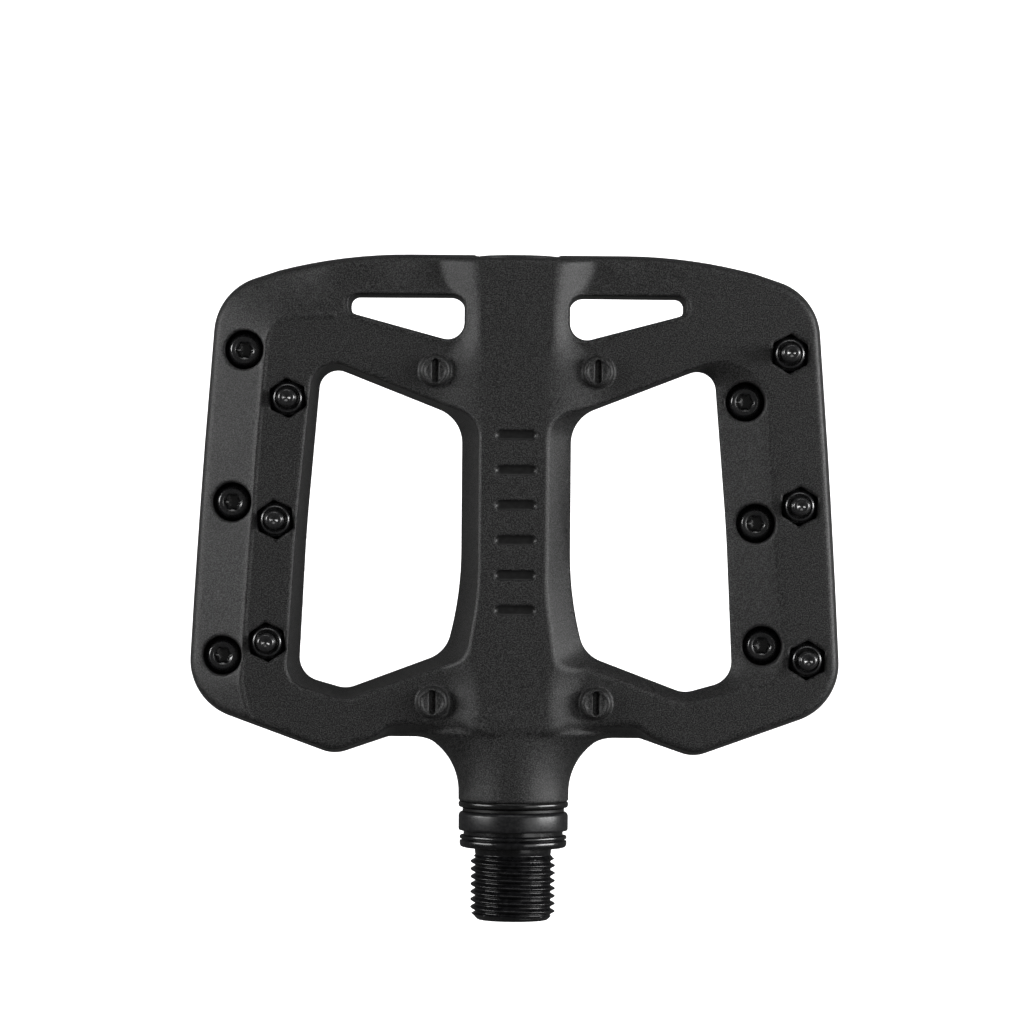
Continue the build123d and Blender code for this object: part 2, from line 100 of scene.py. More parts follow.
# Ridge of the outer facet, from the outboard arm round the corner and down the rail
RIDGE = [(-23.8, 88.6), (-41.3, 88.1), (-43.0, 66.3), (-45.5, 27.2), (-44.4, 22.7), (-41.5, 18.5)]
RIDGE_RADII = [0, 5.0, 200.0, 4.0, 3.0, 0]
FACET_SLOPE = tan(radians(20.0))
# Hairline beads where the mould's inserts meet
BEAD_HALF = 0.36
BEAD_HEIGHT = 0.24
RIM_BEAD_OUT = 0.45  # from a small window's edge to its bead
RIM_BEAD_HEIGHT = 0.2

# The tube's flat top and the foot of its flanks: half widths in the middle, and what each stretch adds along it.
# The flanks are wide in the middle, tighter towards both ends, and widest at the very end, beside a shallow hollow.
TUBE_STRETCHES = {"above": (62.0, 74.0), "out": (77.0, 86.0), "near": (36.0, 26.0), "end": (87.0, OUTBOARD_Y)}
TUBE_FLAT_HALF = 6.9
TUBE_FLAT_CHANGE = {"above": -2.9, "out": 1.7, "near": -1.9}
TUBE_FOOT_HALF = 15.0
TUBE_FOOT_CHANGE = {"above": 1.0, "out": -6.0, "near": -3.5, "end": 3.8}
HOLLOW_DEPTH = 2.2
HOLLOW_X = 13.5
HOLLOW_REACH = 6.5

PEG_PLACES = [(13.5, 79.3), (13.55, 24.4)]
PEG_RADIUS = 2.6
PEG_TOP = HALF_THICK + 2.0
PEG_SLOT_HALF = (0.48, 1.95)
PEG_SLOT_DEPTH = 1.3
PEG_STEP = 0.35  # how far the rim of a peg's top lies below its middle
PEG_STEP_RADIUS = 1.75
BAR_COUNT = 6
BAR_HALF_LENGTH = 3.3
BAR_RADIUS = 0.8
BAR_PITCH = 5.8
BAR_MIDDLE_Y = 54.2
BAR_DEPTH = 0.5

PIN_SEAT = 1.4
HEAD_POCKET_RADIUS = 3.25
NUT_POCKET_ACROSS = 5.8
NUT_FLOOR = 3.0
NUT_TURN = {"left": 5.0, "right": -3.0}  # degrees by which the nuts of a rail are turned

AXLE_END_Y = axle_low.y / MM
AXLE_TIP_Y = axle_high.y / MM
THREAD_PITCH = 1.27
THREAD_CREST = 7.08
THREAD_ROOT = 6.3
THREAD_PHASE = -3.03  # y of a crest, straight across from the axle on the +X side
PIN_RADIUS = 1.475
PIN_PITCH = 0.5
CAP_SET_BACK = 0.24  # keeps the cap out of the outline seen from above


# ---------------------------------------------------------------- outlines
def rounded(points, radii, closed=True, fine=0.25):
    """A polyline with its corners rounded by arcs of the given radii."""
    path = []
    count = len(points)
    for i, (corner, radius) in enumerate(zip(points, radii)):
        corner = np.array(corner, float)
        if radius == 0 or (not closed and i in (0, count - 1)):
            path.append(corner)
            continue
        back = np.array(points[i - 1], float) - corner
        ahead = np.array(points[(i + 1) % count], float) - corner
        back /= np.linalg.norm(back)
        ahead /= np.linalg.norm(ahead)
        half = np.arccos(np.clip(back @ ahead, -1, 1)) / 2
        reach = radius / np.tan(half)
        middle = corner + (back + ahead) / np.linalg.norm(back + ahead) * radius / np.sin(half)
        start = corner + back * reach - middle
        end = corner + ahead * reach - middle
        turn = np.arctan2(start[0] * end[1] - start[1] * end[0], start @ end)
        steps = max(2, int(abs(turn) * radius / fine))
        for angle in np.linspace(0, turn, steps + 1):
            c, s = np.cos(angle), np.sin(angle)
            path.append(middle + np.array([c * start[0] - s * start[1], s * start[0] + c * start[1]]))
    return np.array(path)


def arc(start, middle, end, steps):
    """Points of the circle's arc through three points, without the last one."""
    (ax, ay), (bx, by), (cx, cy) = start, middle, end
    d = 2 * (ax * (by - cy) + bx * (cy - ay) + cx * (ay - by))
    a2, b2, c2 = ax * ax + ay * ay, bx * bx + by * by, cx * cx + cy * cy
    ux = (a2 * (by - cy) + b2 * (cy - ay) + c2 * (ay - by)) / d
    uy = (a2 * (cx - bx) + b2 * (ax - cx) + c2 * (bx - ax)) / d
    first, last = np.arctan2(ay - uy, ax - ux), np.arctan2(cy - uy, cx - ux)
    turn = (last - first + pi) % (2 * pi) - pi
    radius = hypot(ax - ux, ay - uy)
    angles = first + turn * np.linspace(0, 1, steps, endpoint=False)
    return [(ux + radius * cos(t), uy + radius * sin(t)) for t in angles]


def outline():
    """The platform's whole outline, without the neck."""
    crest_low = OUTBOARD_Y - CREST_RADIUS
    middle_x = (CREST_HALF + CORNER_TOP[0]) / 2
    crest_middle = (middle_x, crest_low + np.sqrt(CREST_RADIUS**2 - (middle_x - CREST_HALF) ** 2))
    # the arcs' points beside a corner are left out, where its rounding takes their place
    crest = arc((CREST_HALF, OUTBOARD_Y), crest_middle, CORNER_TOP, 12)[:9]
    side = arc(CORNER_TOP, SIDE_MIDDLE, CORNER_BOTTOM, 8)[3:7]
    half = [*crest, CORNER_TOP, *side, CORNER_BOTTOM, KNEE, KNEE_END]
    radii = [0] * len(crest) + [CORNER_RADIUS] + [0] * len(side) + [CORNER_RADIUS, KNEE_RADIUS, KNEE_END_RADIUS]
    left = [(-x, y) for x, y in reversed(half)]
    return rounded(half + left, radii + radii[::-1])


def distance(path, xs, ys, closed=True):
    """Distance from each grid point to a path, negative inside it if it is closed."""
    gx, gy = np.meshgrid(xs, ys, indexing="ij")
    best = np.full(gx.shape, 1e9)
    inside = np.zeros(gx.shape, bool)
    count = len(path)
    for i in range(count if closed else count - 1):
        (ax, ay), (bx, by) = path[i], path[(i + 1) % count]
        dx, dy = bx - ax, by - ay
        length = dx * dx + dy * dy
        if length < 1e-12:
            continue
        t = np.clip(((gx - ax) * dx + (gy - ay) * dy) / length, 0, 1)
        best = np.minimum(best, (gx - ax - t * dx) ** 2 + (gy - ay - t * dy) ** 2)
        if closed:
            crosses = (ay > gy) != (by > gy)
            at = ax + (gy - ay) * dx / (dy if abs(dy) > 1e-12 else 1e-12)
            inside ^= crosses & (gx < at)
    best = np.sqrt(best)
    return np.where(inside, -best, best) if closed else best


# ---------------------------------------------------------------- smooth combinations
def smax(a, b, width):
    """The larger of two fields, rounded over where they are within width of each other."""
    share = np.maximum(width - np.abs(a - b), 0) / width
    return np.maximum(a, b) + share * share * width / 4


def smin(a, b, width):
    """The smaller of two fields, filleted where they are within width of each other."""
    return -smax(-a, -b, width)


def turned(field):
    """The field after half a turn about the axle."""
    return field[::-1, :, ::-1]


# ---------------------------------------------------------------- the platform's surface
def small_windows(xs, ys):
    """Distance to the edge of the nearer small window, negative inside it."""
    right = distance(rounded(SMALL_WINDOW, SMALL_RADII), xs, ys)
    return np.minimum(right, right[::-1, :])


def window_field(xs, ys, zs):
    """One main window, negative inside, with a shallow facet above its throat and a steep wall below."""
    throat = distance(rounded(THROAT, THROAT_RADII), xs, ys)
    rims = [
        (distance(rounded(FUNNEL, FUNNEL_RADII), xs, ys), HALF_THICK - PART_Z, 1),
        (distance(rounded(STEEP, STEEP_RADII), xs, ys), HALF_THICK + PART_Z, -1),
    ]
    field = np.empty((len(xs), len(ys), len(zs)), np.float32)
    for rim, depth, side in rims:
        lean = (rim - throat) / depth
        scale = 1 / np.sqrt(1 + lean * lean)
        for k, z in enumerate(zs):
            rise = (z - PART_Z) * side
            if rise >= 0:
                field[:, :, k] = (throat + lean * rise) * scale
    return field


def smooth_step(t):
    """Zero below 0, one above 1 and smooth between."""
    t = np.clip(t, 0, 1)
    return t * t * (3 - 2 * t)


def top_height(xs, ys):
    """Height of the upper face over the plate: plateau, outer facet and the tube's swelling."""
    gx, gy = np.meshgrid(xs, ys, indexing="ij")
    ridge = rounded(RIDGE, RIDGE_RADII, closed=False)
    loop = np.vstack([ridge, [(-36.0, 8.0), (0, 8.0), (0, RIDGE[0][1])]])
    outside = np.maximum(distance(loop, xs, ys), 0)
    fade = np.where(gy > 80, smooth_step((-gx - 29.0) / 14.0), 1) * (gx < 0)
    drop = np.sqrt(outside**2 + 0.25**2) - 0.25
    plateau = HALF_THICK - FACET_SLOPE * drop * fade
    # beads along the left ridge, the right funnel's rim and the small windows
    funnel = rounded(FUNNEL, FUNNEL_RADII)
    on_ridge = np.exp(-((distance(ridge, xs, ys, closed=False) / BEAD_HALF) ** 2)) * (gx < -30)
    on_funnel = np.exp(-((distance(funnel, xs, ys) / BEAD_HALF) ** 2)) * (gx > 30)
    on_rim = np.exp(-(((small_windows(xs, ys) - RIM_BEAD_OUT) / BEAD_HALF) ** 2))
    plateau = plateau + BEAD_HEIGHT * (on_ridge + on_funnel) + RIM_BEAD_HEIGHT * on_rim
    shares = {name: smooth_step((gy - start) / (stop - start)) for name, (start, stop) in TUBE_STRETCHES.items()}
    flat = sum((by * shares[name] for name, by in TUBE_FLAT_CHANGE.items()), TUBE_FLAT_HALF)
    foot = sum((by * shares[name] for name, by in TUBE_FOOT_CHANGE.items()), TUBE_FOOT_HALF)
    flank = smooth_step((np.abs(gx) - flat) / (foot - flat))
    hollow = HOLLOW_DEPTH * shares["end"] * np.exp(-(((np.abs(gx) - HOLLOW_X) / HOLLOW_REACH) ** 2))
    return plateau + (TUBE_HALF - plateau) * (1 - flank) - hollow * flank


def pin_table():
    """Place, rail and head side (+1 up, -1 down) of each pin, from the CAD pins."""
    rows = []
    for node in sorted(frame["nodes"]):
        if not node.startswith("pin_"):
            continue
        low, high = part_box(node)
        middle = (low + high) / 2 / MM
        rail = node.split("_")[1]
        rows.append((node, middle.x, middle.y, rail, 1 if middle.z < 0 else -1))
    return rows


def hexagon(gx, gy, across, turn):
    """Distance to a hexagon's sides, negative inside; turn is in degrees from corners on the Y axis."""
    best = np.full(gx.shape, -1e9)
    for i in range(6):
        angle = radians(turn + 60 * i)
        best = np.maximum(best, gx * cos(angle) + gy * sin(angle) - across / 2)
    return best


def carve(field, xs, ys, zs, x, y, reach, shape, width, add=False):
    """Cuts a local shape out of the field, or adds it, within reach of (x, y)."""
    i = np.searchsorted(xs, [x - reach, x + reach])
    j = np.searchsorted(ys, [y - reach, y + reach])
    part = field[i[0]:i[1], j[0]:j[1], :]
    gx, gy, gz = np.meshgrid(xs[i[0]:i[1]] - x, ys[j[0]:j[1]] - y, zs, indexing="ij")
    local = shape(gx, gy, gz)
    part[...] = smin(part, local, width) if add else smax(part, -local, width)


def peg_shape(side):
    """A moulded peg: a round boss with a stepped middle and a slot across it."""
    def shape(gx, gy, gz):
        radius = np.hypot(gx, gy)
        height = side * gz
        boss = smax(radius - PEG_RADIUS + 0.06 * (height - HALF_THICK), height - PEG_TOP, 0.7)
        step = smax(radius - PEG_STEP_RADIUS, (PEG_TOP - PEG_STEP) - height, 0.2)
        boss = smax(boss, -step, 0.2)
        slot = smax(np.abs(gx) - PEG_SLOT_HALF[0], np.abs(gy) - PEG_SLOT_HALF[1], 0.3)
        slot = smax(slot, (PEG_TOP - PEG_SLOT_DEPTH) - height, 0.2)
        return smax(smax(boss, -slot, 0.2), (HALF_THICK - 3) - height, 0.3)
    return shape


def add_details(field, xs, ys, zs):
    """Pegs, plain pressed bars, screw-head pockets and nut pockets."""
    for side in (1, -1):
        for px, py in PEG_PLACES:
            for x in (-px, px):
                carve(field, xs, ys, zs, x, py, 4.5, peg_shape(side), 0.5, add=True)
        for n in range(BAR_COUNT):
            y = BAR_MIDDLE_Y + (n - (BAR_COUNT - 1) / 2) * BAR_PITCH

            def bar(gx, gy, gz, side=side):
                across = np.maximum(np.abs(gx) - (BAR_HALF_LENGTH - BAR_RADIUS), 0)
                return smax(np.hypot(across, gy) - BAR_RADIUS, TUBE_HALF - BAR_DEPTH - side * gz, 0.25)

            carve(field, xs, ys, zs, 0, y, 5.0, bar, 0.2)
    for _, x, y, rail, up in pin_table():
        def head(gx, gy, gz, up=up):
            return smax(np.hypot(gx, gy) - HEAD_POCKET_RADIUS, PIN_SEAT - up * gz, 0.2)

        def nut(gx, gy, gz, up=up, rail=rail):
            sides = hexagon(gx, gy, NUT_POCKET_ACROSS, NUT_TURN[rail])
            return smax(sides, NUT_FLOOR + up * gz, 0.2)

        carve(field, xs, ys, zs, x, y, 4.5, head, 0.35)
        carve(field, xs, ys, zs, x, y, 4.5, nut, 0.35)


def neck_field(gx, gy, gz):
    """The neck: round at its end, and an ever wider ellipse as it flares into the plate."""
    rise = np.clip(gy - NECK_STRAIGHT_Y, 0, NECK_FLARE - 0.4)
    run = np.sqrt(NECK_FLARE**2 - rise**2)
    width = TUBE_HALF + NECK_FLARE - run
    lean = rise / run
    share = np.hypot(gx / width, gz / TUBE_HALF)
    across = np.abs(gx / width) / np.maximum(share, 0.05)
    scale = TUBE_HALF + (width - TUBE_HALF) * across**2
    side = (share - 1) * scale / np.sqrt(1 + (lean * across) ** 2)
    return smax(side, gy - 22.5, 1.0)


def platform_field(xs, ys, zs):
    """The whole platform as a field that is negative inside the plastic."""
    gx, gy = np.meshgrid(xs, ys, indexing="ij")
    edge = distance(outline(), xs, ys)
    beside_neck = np.exp(-((np.maximum(np.abs(np.abs(gx) - 14.5) - 5.0, 0) / 2.2) ** 2)) * (gy < 30)
    draft = WALL_DRAFT + (NECK_DRAFT - WALL_DRAFT) * beside_neck
    top = top_height(xs, ys)
    slope_x, slope_y = np.gradient(top, xs, ys)
    level = 1 / np.sqrt(1 + np.minimum(slope_x**2 + slope_y**2, 2.0))
    window = window_field(xs, ys, zs)
    upper = np.empty_like(window)
    for k, z in enumerate(zs):
        upper[:, :, k] = (z - top) * level
    upper = smax(upper, -window, 0.5)
    field = smax(upper, turned(upper), 0.7)
    for k, z in enumerate(zs):
        wall = (edge + draft * abs(z)) / np.sqrt(1 + draft**2)
        field[:, :, k] = smax(field[:, :, k], wall, 1.0)
    near = ys < 26
    box = np.meshgrid(xs, ys[near], zs, indexing="ij")
    field[:, near, :] = smin(field[:, near, :], neck_field(*box), 0.9)
    field = smax(field, -small_windows(xs, ys)[:, :, None], 0.6)
    add_details(field, xs, ys, zs)
    bores = [(7.55, NECK_Y - 2, 20.8), (5.7, 20, 80), (6.55, 79.4, 86), (6.9, 84.4, OUTBOARD_Y + 2)]
    middle = np.abs(xs) < 9
    gx3, gy3, gz3 = np.meshgrid(xs[middle], ys, zs, indexing="ij")
    around = np.hypot(gx3, gz3)
    for radius, start, end in bores:
        bore = np.maximum(around - radius, np.maximum(start - gy3, gy3 - end))
        field[middle] = smax(field[middle], -bore, 0.3)
    field = smax(field, (NECK_Y - ys)[None, :, None], 0.4)
    return field


def surface_net(field, xs, ys, zs):
    """Vertices and quads of the field's zero surface, one vertex in each grid cell that it crosses."""
    inside = field < 0
    corners = [(i, j, k) for i in (0, 1) for j in (0, 1) for k in (0, 1)]
    shape = tuple(n - 1 for n in field.shape)
    total = np.zeros(shape, np.int8)
    for i, j, k in corners:
        total += inside[i:i + shape[0], j:j + shape[1], k:k + shape[2]]
    cells = np.argwhere((total > 0) & (total < 8))
    value = {c: field[cells[:, 0] + c[0], cells[:, 1] + c[1], cells[:, 2] + c[2]] for c in corners}
    at = np.zeros((len(cells), 3))
    hits = np.zeros(len(cells))
    for a in corners:
        for axis in range(3):
            if a[axis]:
                continue
            b = tuple(a[n] + (n == axis) for n in range(3))
            va, vb = value[a], value[b]
            crossed = (va < 0) != (vb < 0)
            t = np.where(crossed, va / np.where(crossed, va - vb, 1), 0)
            point = np.array(a, float)[None, :] + np.eye(3)[axis][None, :] * t[:, None]
            at += point * crossed[:, None]
            hits += crossed
    spacing = np.array([xs[1] - xs[0], ys[1] - ys[0], zs[1] - zs[0]])
    origin = np.array([xs[0], ys[0], zs[0]])
    vertices = origin + (cells + at / hits[:, None]) * spacing
    index = np.full(shape, -1, np.int64)
    index[tuple(cells.T)] = np.arange(len(cells))
    quads = []
    for axis in range(3):
        u, v = (axis + 1) % 3, (axis + 2) % 3
        first = [slice(1, -1)] * 3
        first[axis] = slice(0, -1)
        second = list(first)
        second[axis] = slice(1, None)
        low, high = inside[tuple(first)], inside[tuple(second)]
        for flip in (False, True):
            edges = np.argwhere((low & ~high) if not flip else (~low & high))
            edges[:, u] += 1
            edges[:, v] += 1
            ring = []
            for du, dv in ((-1, -1), (0, -1), (0, 0), (-1, 0)):
                cell = edges.copy()
                cell[:, u] += du
                cell[:, v] += dv
                ring.append(index[tuple(cell.T)])
            ring = np.stack(ring, 1)
            quads.append(ring[:, ::-1] if flip else ring)
    return vertices, np.vstack(quads)


def mesh_object(name, vertices, faces, smooth=True):
    """A mesh object from points in millimetres."""
    mesh = bpy.data.meshes.new(name)
    mesh.from_pydata([tuple(v) for v in np.asarray(vertices) * MM], [], [tuple(f) for f in faces])
    if smooth:
        mesh.polygons.foreach_set("use_smooth", [True] * len(mesh.polygons))
    mesh.update()
    obj = bpy.data.objects.new(name, mesh)
    bpy.context.scene.collection.objects.link(obj)
    return obj


def centred_grid(half):
    """Grid places that mirror about 0 and reach past half."""
    count = int(np.ceil((half + GRID_MARGIN) / GRID))
    return np.arange(-count, count + 1) * GRID


def in_pressed_bar(x, y):
    """Whether a point lies within the outline of one of the pressed bars."""
    lengthwise = (y - BAR_MIDDLE_Y) / BAR_PITCH + (BAR_COUNT - 1) / 2
    nearest = min(max(round(lengthwise), 0), BAR_COUNT - 1)
    across = max(abs(x) - (BAR_HALF_LENGTH - BAR_RADIUS), 0)
    return hypot(across, (lengthwise - nearest) * BAR_PITCH) < BAR_RADIUS


def make_platform(material, pressed):
    """The moulded platform, as one mesh of its field's surface, with smoother plastic in the pressed bars, its darker
    colour painted shade of their recess.
    """
    xs, zs = centred_grid(HALF_WIDTH), centred_grid(TUBE_HALF)
    ys = np.arange(NECK_Y - GRID_MARGIN, OUTBOARD_Y + GRID_MARGIN, GRID)
    field = platform_field(xs, ys, zs)
    vertices, quads = surface_net(field, xs, ys, zs)
    shell = mesh_object("platform_shell", vertices, quads)
    thin = shell.modifiers.new("thin", "DECIMATE")
    thin.ratio = min(1.0, BODY_TRIANGLES / (2 * len(quads)))
    baked = bpy.data.meshes.new_from_object(shell.evaluated_get(bpy.context.evaluated_depsgraph_get()))
    shell.modifiers.clear()
    shell.data = baked
    shell.data.polygons.foreach_set("use_smooth", [True] * len(baked.polygons))
    shell.data.materials.clear()
    shell.data.materials.append(material)
    shell.data.materials.append(pressed)
    # faces in the pressed bars get the smoother plastic, whose darker colour is painted shade
    for face in shell.data.polygons:
        middle = face.center / MM
        if abs(middle.z) > HALF_THICK and in_pressed_bar(middle.x, middle.y):
            face.material_index = 1
    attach(shell, "platform")
    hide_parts("pedal_body")


# ---------------------------------------------------------------- turned pieces
def weld_and_shade(mesh, angle=32.0):
    """Welds points at the same place, closes the pinholes this leaves, and shades smooth except across sharp edges."""
    work = bmesh.new()
    work.from_mesh(mesh)
    bmesh.ops.remove_doubles(work, verts=work.verts, dist=0.0005 * MM)
    bmesh.ops.holes_fill(work, edges=[edge for edge in work.edges if edge.is_boundary], sides=0)
    bmesh.ops.recalc_face_normals(work, faces=work.faces)
    for edge in work.edges:
        edge.smooth = edge.calc_face_angle(0) < radians(angle)
    work.to_mesh(mesh)
    work.free()


def lathe(name, rows, segments=96, closed=False):
    """A turned piece about Y. A row is (radius, y), and either may be a function of the angle."""
    points = []
    for radius, y in rows:
        for t in np.linspace(0, 2 * pi, segments + 1):
            r = radius(t) if callable(radius) else radius
            points.append((r * cos(t), y(t) if callable(y) else y, r * sin(t)))
    faces = []
    columns = segments + 1
    for row in range(len(rows) if closed else len(rows) - 1):
        a, b = row * columns, (row + 1) % len(rows) * columns
        faces += [(a + i, a + i + 1, b + i + 1, b + i) for i in range(segments)]
    obj = mesh_object(name, points, faces)
    weld_and_shade(obj.data)
    return obj


def hex_radius(across, turn=0.0):
    """Radius of a hexagon, as a function of the angle in radians."""
    def radius(t):
        u = (t - radians(turn)) % (pi / 3) - pi / 6
        return across / 2 / cos(u)
    return radius


def smaller(first, limit):
    """The radius function first, held to no more than limit."""
    return lambda t: min(first(t), limit)


def thread_rows(top, end, pitch, root, crest, phase, hand, limit, per_turn=32):
    """Rows of a helical thread, from y top down to y end, that each follow the helix.

    phase is the y of a crest at angle 0, and limit(y) holds the crests back near the thread's ends.
    """
    rows = []
    for first in np.arange(top + (pitch if hand < 0 else 0), end - (pitch if hand > 0 else 0), -pitch / per_turn):
        share = abs((first - phase) / pitch % 1 - 0.5) * 2
        height = root + (crest - root) * (1 - cos(share * pi)) / 2

        def y(t, first=first):
            return min(max(first + hand * pitch * t / (2 * pi), end), top)

        def radius(t, y=y, height=height):
            return max(root, min(height, limit(y(t))))

        rows.append((radius, y))
    return rows


def adopt(obj, material, node, body):
    """Gives a piece its material, body and the CAD node that it stands for."""
    obj.data.materials.clear()
    obj.data.materials.append(material)
    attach(obj, body)
    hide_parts(node)


def make_axle(material):
    """The axle: hex socket, left-hand thread, flange, and the hidden spindle up to its end stub."""
    hexagonal = hex_radius(8.0)
    end = AXLE_END_Y
    rows = [(0, end + 9.0), (hex_radius(7.96), end + 9.0), (hexagonal, end + 8.9), (hexagonal, end + 0.35)]
    rows += [(4.75, end + 0.02), (4.85, end), (5.75, end), (5.95, end + 0.1), (6.3, end + 0.45)]
    fade = lambda y: min(THREAD_ROOT + 1.1 * (y - end - 0.5), THREAD_ROOT + 0.9 * (-1.35 - y) + 0.1)
    thread = thread_rows(-1.15, end + 0.5, THREAD_PITCH, THREAD_ROOT, THREAD_CREST, THREAD_PHASE, 1, fade)
    rows += thread[::-1]
    rows += [(6.35, -1.0), (6.4, -0.6), (6.4, 0.2), (6.5, 0.32), (6.75, 0.3), (7.3, 0.03), (7.4, 0), (8.4, 0)]
    rows += [(8.62, 0.06), (8.82, 0.2), (8.92, 0.42), (8.95, 0.65), (8.95, 1.02), (8.9, 1.12), (8.68, 1.2)]
    rows += [(8.62, 1.3), (8.68, 1.4), (8.9, 1.48), (8.95, 1.58), (8.95, 1.8), (8.9, 1.93), (8.8, 2.0)]
    rows += [(8.5, 2.06), (8.3, 2.15), (8.3, 2.8), (6.47, 2.8), (6.47, 18.6), (5.2, 20.2), (5.2, 28.0)]
    rows += [(4.0, 62.0), (4.0, 79.5), (3.0, 79.5), (3.0, 84.5), (2.95, 84.5), (2.95, AXLE_TIP_Y - 0.5)]
    rows += [(2.45, AXLE_TIP_Y), (0, AXLE_TIP_Y)]
    axle = lathe("axle_turned", rows, 128)
    adopt(axle, material, "axle", "axle")


def make_rings(rubber, plastic, glossy):
    """The wide seal, the backing washer and the bushing with its glossy flange."""
    inner = 6.49
    seal = [(inner, 2.8), (8.8, 2.8), (9.02, 2.86), (9.12, 3.0), (9.15, 3.2), (9.15, 5.3), (9.1, 5.55)]
    seal += [(8.98, 5.75), (8.8, 5.9), (8.55, 5.98), (8.3, 6.0), (inner, 6.0)]
    adopt(lathe("seal_ring", seal, 96, True), rubber, "axle_seal", "axle")
    washer = [(inner, 6.0), (8.4, 6.0), (8.5, 6.1), (8.5, 6.5), (8.4, 6.6), (inner, 6.6)]
    adopt(lathe("washer_ring", washer, 96, True), plastic, "backing_washer", "axle")
    low, high = 6.65, NECK_Y
    flange = [(6.5, low), (8.6, low), (8.95, low + 0.07), (9.12, low + 0.22), (9.17, low + 0.42)]
    flange += [(9.17, high - 0.3), (9.1, high - 0.12), (8.95, high), (7.5, high), (7.5, 20.5), (6.5, 20.5)]
    adopt(lathe("bushing_flanged", flange, 96, True), glossy, "inboard_bushing", "platform")


def make_cap(material):
    """The end cap: a shallow dish with a hex socket, just inside the platform's end."""
    inner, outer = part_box("end_cap")
    radius, base, face = outer.x / MM, inner.y / MM, outer.y / MM - CAP_SET_BACK
    socket = hex_radius(6.0)
    rows = [(0, base), (radius, base), (radius, face - 0.35), (radius - 0.1, face - 0.12)]
    rows += [(radius - 0.35, face), (radius - 1.1, face), (radius - 1.4, face - 0.1), (radius - 1.6, face - 0.3)]
    rows += [(4.1, face - 0.35), (3.8, face - 0.15), (3.6, face - 0.05), (smaller(socket, 3.3), face - 0.05)]
    rows += [(smaller(socket, 3.25), face - 0.3), (socket, face - 0.35), (socket, face - 1.6), (0, face - 1.6)]
    adopt(lathe("cap_dished", rows, 96), material, "end_cap", "platform")


def pin_mesh():
    """A pin's mesh about local Y: its seat at 0, its socket head above and its tip below."""
    socket = hex_radius(2.5)
    rows = [(0, 0.2), (hex_radius(2.4), 0.9), (socket, 1.0), (socket, 2.75), (1.5, 2.93), (1.62, 3.0)]
    rows += [(2.08, 3.0), (2.22, 2.96), (2.34, 2.86), (2.66, 2.4), (2.73, 2.25), (2.75, 2.05)]
    rows += [(2.75, 0.12), (2.66, 0.0), (PIN_RADIUS, 0.0), (PIN_RADIUS, -7.6), (1.25, -7.7)]
    tip = -12.8
    fade = lambda y: PIN_RADIUS - max(0, 0.6 * (tip + 0.75 - y))
    rows += thread_rows(-7.7, tip + 0.5, PIN_PITCH, 1.25, PIN_RADIUS, 0, -1, fade, 8)
    rows += [(1.42, tip + 0.42), (1.36, tip + 0.2), (1.26, tip + 0.06), (1.12, tip), (0.74, tip)]
    rows += [(0.64, tip + 0.05), (0.34, tip + 0.26), (0.12, tip + 0.36), (0, tip + 0.38)]
    return lathe("pin_master", rows, 48)


def nut_mesh():
    """A nut's mesh about local Y: its base at 0, its round locking collar on top."""
    sides = hex_radius(5.5, 30)
    rows = [(1.45, 0), (smaller(sides, 2.9), 0), (smaller(sides, 3.1), 0.12), (sides, 0.3), (sides, 2.2)]
    rows += [(smaller(sides, 3.12), 2.4), (smaller(sides, 2.98), 2.55), (smaller(sides, 2.8), 2.68)]
    rows += [(2.62, 2.76), (2.52, 2.84), (2.48, 3.0), (2.48, 3.45), (2.44, 3.68), (2.34, 3.86), (2.2, 3.96)]
    rows += [(2.12, 3.99), (2.0, 3.92), (1.95, 3.78), (1.93, 3.2), (1.9, 2.9), (1.5, 2.85)]
    return lathe("nut_master", rows, 72, True)


def make_pins(steel, nut_steel):
    """Every pin and nut, from one mesh each, placed on the CAD pins."""
    masters = {"pin": pin_mesh(), "nut": nut_mesh()}
    for node, x, y, rail, up in pin_table():
        nut_node = node.replace("pin_", "nut_")
        flip = Matrix.Rotation(radians(90 * up), 4, "X")
        seat = Matrix.Translation(Vector((x, y, up * PIN_SEAT)) * MM)
        base = Matrix.Translation(Vector((x, y, -up * NUT_FLOOR)) * MM)
        spin = Matrix.Rotation(radians(NUT_TURN[rail] + 30), 4, "Z")
        jobs = [("pin", node, seat @ flip, steel), ("nut", nut_node, base @ spin @ flip.inverted(), nut_steel)]
        for kind, target, matrix, material in jobs:
            mesh = masters[kind].data.copy()
            mesh.transform(matrix)
            piece = bpy.data.objects.new("steel_" + target, mesh)
            bpy.context.scene.collection.objects.link(piece)
            adopt(piece, material, target, "platform")
    for master in masters.values():
        bpy.data.objects.remove(master)


# ---------------------------------------------------------------- materials
def new_material(name, colour, roughness, metallic=0.0, specular=0.5, coat=0.0, coat_roughness=0.1):
    """A material whose uniform values sit on its shader's own sockets."""
    material = bpy.data.materials.new(name)
    material.use_nodes = True
    shader = material.node_tree.nodes["Principled BSDF"]
    shader.inputs["Base Color"].default_value = (*colour, 1)
    shader.inputs["Roughness"].default_value = roughness
    shader.inputs["Metallic"].default_value = metallic
    shader.inputs["Specular IOR Level"].default_value = specular
    shader.inputs["Coat Weight"].default_value = coat
    shader.inputs["Coat Roughness"].default_value = coat_roughness
    return material


